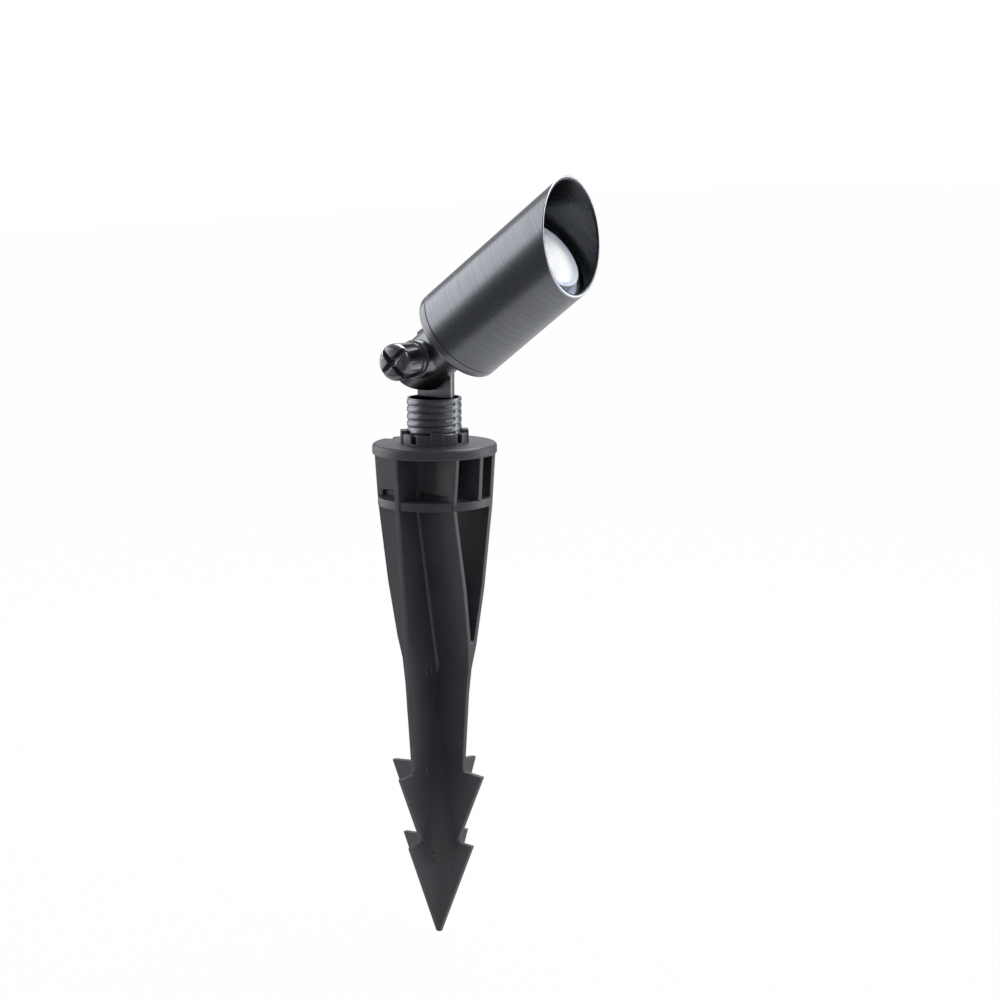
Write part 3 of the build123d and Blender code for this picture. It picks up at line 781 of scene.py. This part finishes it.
class SPIKELIGHT_OT_barrel(bpy.types.Operator):
    """Turned tube with its slanted mouth, and the lens ring inside it"""

    bl_idname = "spikelight.barrel"
    bl_label = "Barrel"

    # the walls of the tube and of the ring: distance from the axis, height over the hinge, in mm
    TUBE = (
        (18.65, 17.46), (18.85, 17.5), (19.05, 17.8), (19.05, 50), (19.05, 95), (17.8, 95),
        (17.8, 58.5), (16.4, 58.5), (16.4, 57.4), (17.8, 56.9), (17.8, 17.46), (18.65, 17.46),
    )
    RING = (
        (17.8, 62.5), (17.8, 64.05), (17.65, 64.2), (17.3, 64.2), (17.2, 63.95), (17.05, 63.95),
        (16.95, 64.2), (16.85, 64.2), (16.7, 64.05), (16.7, 62.5), (17.8, 62.5),
    )
    # the mouth's inner and outer edge: from and to this distance from the axis, rounding, in mm
    MOUTH_EDGES = ((17, 17.9, 0.6), (19, 20, 0.38))

    def execute(self, context):
        tube = turned(in_mm(self.TUBE), 160, closed=True)
        trimmed(tube, (0, 0, MOUTH_AT), Vector((MOUTH_SLOPE, 0, 1)).normalized(), fill=False)
        bpy.ops.object.mode_set(mode="EDIT")
        bpy.ops.mesh.bridge_edge_loops()
        for low, high, rounding in self.MOUTH_EDGES:
            select_edges(
                tube, lambda p: abs(p.z + MOUTH_SLOPE * p.x - MOUTH_AT) < 0.01 * MM
                and low * MM < math.hypot(p.x, p.y) < high * MM,
            )
            bpy.ops.mesh.bevel(
                offset=rounding * MM, segments=4, affect="EDGES", clamp_overlap=False
            )
        bpy.ops.object.mode_set(mode="OBJECT")
        softened(tube, 0.12 * MM, 45)
        settle(tube, HEAD_TURN, HINGE)
        finish_piece(
            tube, "barrel_shell", "tube", "barrel",
            FINISHES["brushed_bronze"], 50,
        )
        ring = turned(in_mm(self.RING), 128, closed=True)
        settle(ring, HEAD_TURN, HINGE)
        finish_piece(
            ring, "lens_ring_turned", "tube", "lens_ring",
            FINISHES["brushed_bronze"], 30,
        )
        return {"FINISHED"}


class SPIKELIGHT_OT_lens(bpy.types.Operator):
    """Frosted lens with a raised middle"""

    bl_idname = "spikelight.lens"
    bl_label = "Lens"

    # the lens's foot and the wall of its raised part, as the tube's walls are given
    WALL = (
        (17.1, 59.5), (17.5, 59.9), (17.5, 62.1), (17.1, 62.5), (14.5, 62.5),
        (14.1, 62.9), (13.95, 66.1), (13.8, 66.5), (13.4, 66.65), (12.4, 66.4),
    )
    # the dome on it: the radius and height of its rim and how far it rises, in mm
    DOME_R = 11.75
    DOME_AT = 66.15
    DOME_RISE = 3.2
    DOME_RINGS = 13

    def execute(self, context):
        ball = (self.DOME_R**2 + self.DOME_RISE**2) / (2 * self.DOME_RISE)
        ball_middle = self.DOME_AT + self.DOME_RISE - ball
        widest = math.asin(self.DOME_R / ball)
        rings = list(self.WALL)
        for i in range(self.DOME_RINGS):
            turn = widest * (1 - i / (self.DOME_RINGS - 0.5))
            rings.append((ball * math.sin(turn), ball_middle + ball * math.cos(turn)))
        lens = turned(in_mm(rings), 128)
        settle(lens, HEAD_TURN, HINGE)
        finish_piece(
            lens, "frosted_lens", "tube", "lens", FINISHES["frosted_glass"]
        )
        return {"FINISHED"}


class SPIKELIGHT_OT_stage(bpy.types.Operator):
    """Pale floor, soft lamps, world and camera"""

    bl_idname = "spikelight.stage"
    bl_label = "Stage"

    FLOOR_WIDE = 8.0
    FLOOR_BACK = 3.78
    FLOOR_GREY = (0.42, 0.42, 0.42, 1)
    # how white the floor is to the camera and to what mirrors it
    FLOOR_SEEN = 0.985
    FLOOR_MIRRORED = 0.1
    # the world's light on matt surfaces, and in metal where it is dim and where it is pale
    WORLD_SOFT = 0.62
    WORLD_DIM = 0.13
    WORLD_PALE = 0.5
    PALE_WAY = (-0.3, 0.65, 0.7)
    CAMERA_PLACE = (0.5436575, -0.7543546, 0.1284688)
    CAMERA_TURN = (80.77026, 0.3194966, 34.19274)

    def execute(self, context):
        sizes = context.scene.spike_light_stage
        self.make_floor(sizes)
        self.make_world(context)
        self.make_lamps(sizes)
        self.make_camera(context, sizes)
        context.scene.view_settings.view_transform = "Standard"
        return {"FINISHED"}

    def make_floor(self, sizes):
        """A pale floor that stays white to the camera and keeps a faint shadow."""
        clear_selection()
        bpy.ops.mesh.primitive_plane_add(
            size=self.FLOOR_WIDE, location=(0, self.FLOOR_BACK, sizes.floor_drop)
        )
        floor = bpy.context.object
        floor.name = "floor"
        bpy.ops.object.transform_apply(location=True, rotation=True, scale=True)
        finish = bpy.data.materials.new("pale_floor")
        finish.use_nodes = True
        tree = finish.node_tree
        tree.nodes.clear()
        matt = put(tree, "ShaderNodeBsdfDiffuse", Color=self.FLOOR_GREY)
        white = put(tree, "ShaderNodeEmission", Strength=1.0)
        rays = put(tree, "ShaderNodeLightPath")
        seen = with_number(
            tree, "MULTIPLY", rays.outputs["Is Camera Ray"], self.FLOOR_SEEN
        )
        mirrored = with_number(
            tree, "MULTIPLY", rays.outputs["Is Glossy Ray"], self.FLOOR_MIRRORED
        )
        share = put(tree, "ShaderNodeMath", [(0, seen), (1, mirrored)], operation="MAXIMUM")
        mixed = put(
            tree, "ShaderNodeMixShader",
            [(0, share.outputs[0]), (1, matt.outputs[0]), (2, white.outputs[0])],
        )
        put(tree, "ShaderNodeOutputMaterial", [("Surface", mixed.outputs[0])])
        floor.data.materials.append(finish)

    def make_world(self, context):
        """White to the camera and through glass, to metal pale behind and dim in front."""
        world = bpy.data.worlds.new("studio")
        context.scene.world = world
        world.use_nodes = True
        tree = world.node_tree
        tree.nodes.clear()
        rays = put(tree, "ShaderNodeLightPath")
        seen = put(
            tree, "ShaderNodeMath",
            [(0, rays.outputs["Is Camera Ray"]), (1, rays.outputs["Is Transmission Ray"])],
            operation="MAXIMUM",
        )
        way = put(tree, "ShaderNodeTexCoord")
        toward = put(
            tree, "ShaderNodeVectorMath", [(0, way.outputs["Generated"])], operation="DOT_PRODUCT"
        )
        toward.inputs[1].default_value = self.PALE_WAY
        behind = put(
            tree, "ShaderNodeMapRange", [("Value", toward.outputs["Value"])],
            From_Min=0.2, From_Max=0.9, To_Min=self.WORLD_DIM, To_Max=self.WORLD_PALE,
        )
        soft = put(tree, "ShaderNodeBackground", Color=(1, 1, 1, 1), Strength=self.WORLD_SOFT)
        room = put(
            tree, "ShaderNodeBackground", [("Strength", behind.outputs["Result"])],
            Color=(0.94, 0.96, 1, 1),
        )
        white = put(tree, "ShaderNodeBackground", Color=(1, 1, 1, 1), Strength=1.0)
        metal = put(
            tree, "ShaderNodeMixShader",
            [(0, rays.outputs["Is Glossy Ray"]), (1, soft.outputs[0]), (2, room.outputs[0])],
        )
        whole = put(
            tree, "ShaderNodeMixShader",
            [(0, seen.outputs[0]), (1, metal.outputs[0]), (2, white.outputs[0])],
        )
        put(tree, "ShaderNodeOutputWorld", [("Surface", whole.outputs[0])])

    def make_lamps(self, sizes):
        """Soft lamps: one on the left, one high behind, a weak one right and one on the mouth."""
        # bearing and height of its place in degrees, distance, point it faces, its size, power
        lamps = (
            ("key_lamp", -74, 12, 0.9, (0, 0, 0.02), 1.15, 0.8, sizes.key_power),
            ("back_lamp", -170, 58, 0.8, (-0.08, 0.4, -0.19), 0.8, 0.4, 9.0),
            ("side_lamp", 138, 0, 0.9, (0, 0, -0.02), 0.5, 0.6, 2.2),
            ("mouth_lamp", 108, 43, 0.8, (0.04, 0, 0.06), 0.4, 0.4, sizes.mouth_power),
        )
        for name, bearing, height, away, faced, wide, high, power in lamps:
            clear_selection()
            bearing, height = math.radians(bearing), math.radians(height)
            place = away * Vector((
                math.sin(bearing) * math.cos(height), -math.cos(bearing) * math.cos(height),
                math.sin(height),
            ))
            bpy.ops.object.light_add(type="AREA", location=place)
            lamp = bpy.context.object
            lamp.name = name
            lamp.rotation_euler = (place - Vector(faced)).to_track_quat("Z", "Y").to_euler()
            lamp.data.shape = "RECTANGLE"
            lamp.data.size = wide
            lamp.data.size_y = high
            lamp.data.energy = power
            lamp.visible_camera = False

    def make_camera(self, context, sizes):
        """The photograph's viewpoint."""
        clear_selection()
        bpy.ops.object.camera_add(location=self.CAMERA_PLACE)
        camera = bpy.context.object
        camera.name = "photo_view"
        camera.rotation_euler = [math.radians(a) for a in self.CAMERA_TURN]
        camera.data.lens = sizes.lens_length
        camera.data.sensor_width = 36
        camera.data.clip_end = 50
        context.scene.camera = camera


class SPIKELIGHT_PT_panel(bpy.types.Panel):
    """Lists the pieces and the finishes"""

    bl_label = "Spike light"
    bl_space_type = "VIEW_3D"
    bl_region_type = "UI"
    bl_category = "Spike light"

    def draw(self, context):
        for operator in OPERATORS:
            self.layout.operator(operator.bl_idname)
        for group in ("spike_light_finish", "spike_light_stage"):
            settings = getattr(context.scene, group)
            for name in settings.__annotations__:
                self.layout.prop(settings, name)


OPERATORS = (
    SPIKELIGHT_OT_finishes,
    SPIKELIGHT_OT_spike,
    SPIKELIGHT_OT_stem,
    SPIKELIGHT_OT_cap,
    SPIKELIGHT_OT_thumbscrew,
    SPIKELIGHT_OT_barrel,
    SPIKELIGHT_OT_lens,
    SPIKELIGHT_OT_stage,
)
GROUPS = {
    "spike_light_finish": SpikeLightFinish,
    "spike_light_stage": SpikeLightStage,
}


def register():
    for name, group in GROUPS.items():
        bpy.utils.register_class(group)
        setattr(bpy.types.Scene, name, bpy.props.PointerProperty(type=group))
    for operator in OPERATORS:
        bpy.utils.register_class(operator)
    bpy.utils.register_class(SPIKELIGHT_PT_panel)


def unregister():
    bpy.utils.unregister_class(SPIKELIGHT_PT_panel)
    for operator in reversed(OPERATORS):
        bpy.utils.unregister_class(operator)
    for name, group in GROUPS.items():
        delattr(bpy.types.Scene, name)
        bpy.utils.unregister_class(group)


def main():
    """Builds the whole scene."""
    register()
    for operator in OPERATORS:
        group, name = operator.bl_idname.split(".")
        getattr(getattr(bpy.ops, group), name)()


if __name__ == "__main__":
    main()
